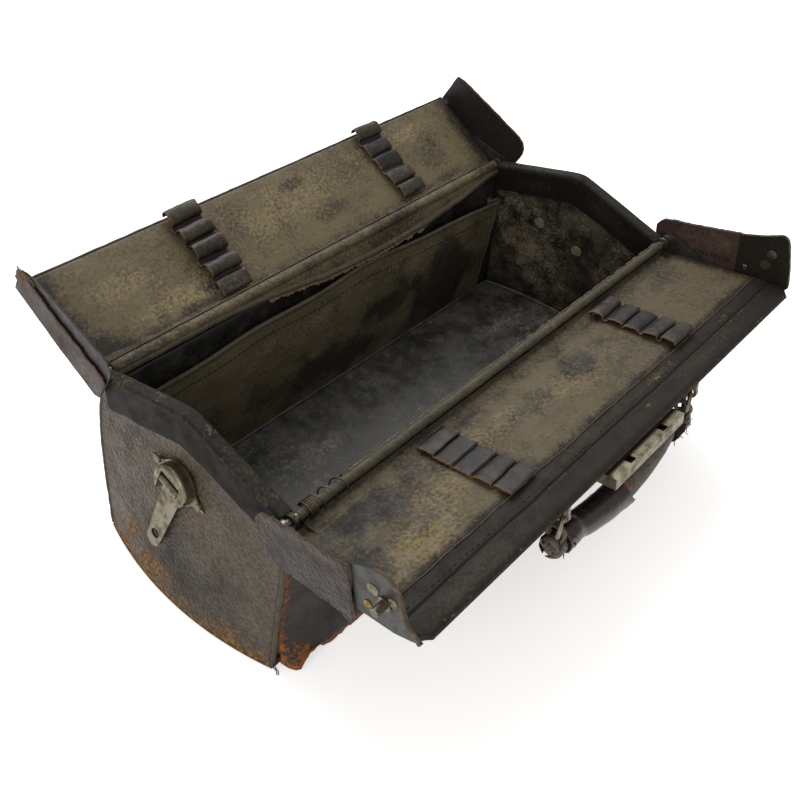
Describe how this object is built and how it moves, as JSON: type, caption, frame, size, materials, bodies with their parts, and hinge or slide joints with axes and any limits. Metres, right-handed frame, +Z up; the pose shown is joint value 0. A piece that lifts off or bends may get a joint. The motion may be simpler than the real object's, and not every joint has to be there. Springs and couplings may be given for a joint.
{
  "type": "medical satchel",
  "caption": "Antique leather medical satchel lying open: gabled ends, hinged lids with vial loops, inner pocket, end clasps, sliding lock and ring handle.",
  "frame": {"origin": "middle of the underside, on the surface the bag stands on", "axes": "+X along the bag, +Y to the rear lid, +Z up"},
  "size_m": [0.449, 0.3533, 0.1836],
  "materials": {
    "grained_leather": "pebbled, worn brown at the edges",
    "band_leather": "smooth, dull, scuffed",
    "lining_leather": "smooth, faded and rubbed",
    "pocket_leather": "smooth, stained",
    "piping_leather": "thin, cracked",
    "oilcloth": "coated cloth, dusty",
    "millboard": "pressed board",
    "strap_leather": "smooth, raw cut edges",
    "nickel": "dull nickel plate",
    "steel": "tarnished",
    "enamelled_steel": "worn paint",
    "handle_core": "bare split leather",
    "handle_leather": "glossy from the hand",
    "thread": "waxed thread",
    "binding_wire": "rusty wire"
  },
  "bodies": {
    "base": {"base_cover": "grained_leather", "base_board": "millboard", "floor_lining": "oilcloth", "front_wall": "grained_leather", "rear_wall": "grained_leather", "front_lining": "oilcloth", "rear_lining": "oilcloth", "left_end_wall": "grained_leather", "right_end_wall": "grained_leather", "left_end_board": "millboard", "right_end_board": "millboard", "left_end_lining": "oilcloth", "right_end_lining": "oilcloth", "left_gable_frame": "steel", "right_gable_frame": "steel", "left_gable_trim": "band_leather", "right_gable_trim": "band_leather", "corner_piping": "piping_leather", "front_hinge_rod": "steel", "rear_hinge_rod": "steel", "front_rod_piping": "piping_leather", "rear_rod_piping": "piping_leather", "rod_binding": "binding_wire", "pocket_panel": "pocket_leather", "pocket_gussets": "pocket_leather", "left_clasp": "nickel", "right_clasp": "nickel", "hasp_pins": "nickel", "clasp_rivets": "nickel"},
    "hasp_left": {"left_hasp": "nickel"},
    "hasp_right": {"right_hasp": "nickel"},
    "rear_lid": {"rear_lid_shell": "grained_leather", "rear_lid_board": "millboard", "rear_lid_lining": "lining_leather", "rear_lid_piping": "piping_leather", "rear_lid_left_flange": "grained_leather", "rear_lid_right_flange": "grained_leather", "rear_hinge_plates": "steel", "rear_left_loops": "strap_leather", "rear_right_loops": "strap_leather", "lock_staples": "nickel"},
    "front_lid": {"front_lid_shell": "grained_leather", "front_lid_board": "millboard", "front_lid_lining": "lining_leather", "front_lid_frame": "band_leather", "front_lid_left_flange": "grained_leather", "front_lid_right_flange": "grained_leather", "left_end_plate": "enamelled_steel", "right_end_plate": "enamelled_steel", "front_hinge_plates": "steel", "front_left_loops": "strap_leather", "front_right_loops": "strap_leather", "hasp_studs": "nickel", "lock_plate": "nickel", "lock_case": "nickel"},
    "bolt": {"lock_bolt": "nickel"},
    "rings": {"handle_rings": "nickel"},
    "handle": {"handle_core": "handle_core", "handle_cover": "handle_leather", "handle_windings": "thread"}
  },
  "joints": [
    {"name": "front_lid_hinge", "type": "hinge", "parent": "base", "child": "front_lid", "pos_m": [0, -0.081, 0.1296], "axis": [-1, 0, 0], "range_deg": [0, 157.5]},
    {"name": "rear_lid_hinge", "type": "hinge", "parent": "base", "child": "rear_lid", "pos_m": [0, 0.081, 0.1296], "axis": [1, 0, 0], "range_deg": [0, 136]},
    {"name": "left_hasp_hinge", "type": "hinge", "parent": "base", "child": "hasp_left", "pos_m": [-0.20961, 0.008, 0.09535], "axis": [0.0538, 0.9659, 0.2532], "range_deg": [0, 168]},
    {"name": "right_hasp_hinge", "type": "hinge", "parent": "base", "child": "hasp_right", "pos_m": [0.20961, 0.008, 0.09535], "axis": [0.0538, -0.9659, -0.2532], "range_deg": [0, 168]},
    {"name": "ring_swing", "type": "hinge", "parent": "front_lid", "child": "rings", "pos_m": [-0.005, -0.17772, 0.11954], "axis": [1, 0, 0], "range_deg": [-75, 50]},
    {"name": "handle_swing", "type": "hinge", "parent": "rings", "child": "handle", "pos_m": [-0.005, -0.17772, 0.10354], "axis": [1, 0, 0], "range_deg": [-35, 35]},
    {"name": "lock_bolt_slide", "type": "slide", "parent": "front_lid", "child": "bolt", "axis": [-1, 0, 0], "range_m": [0, 0.007]}
  ]
}
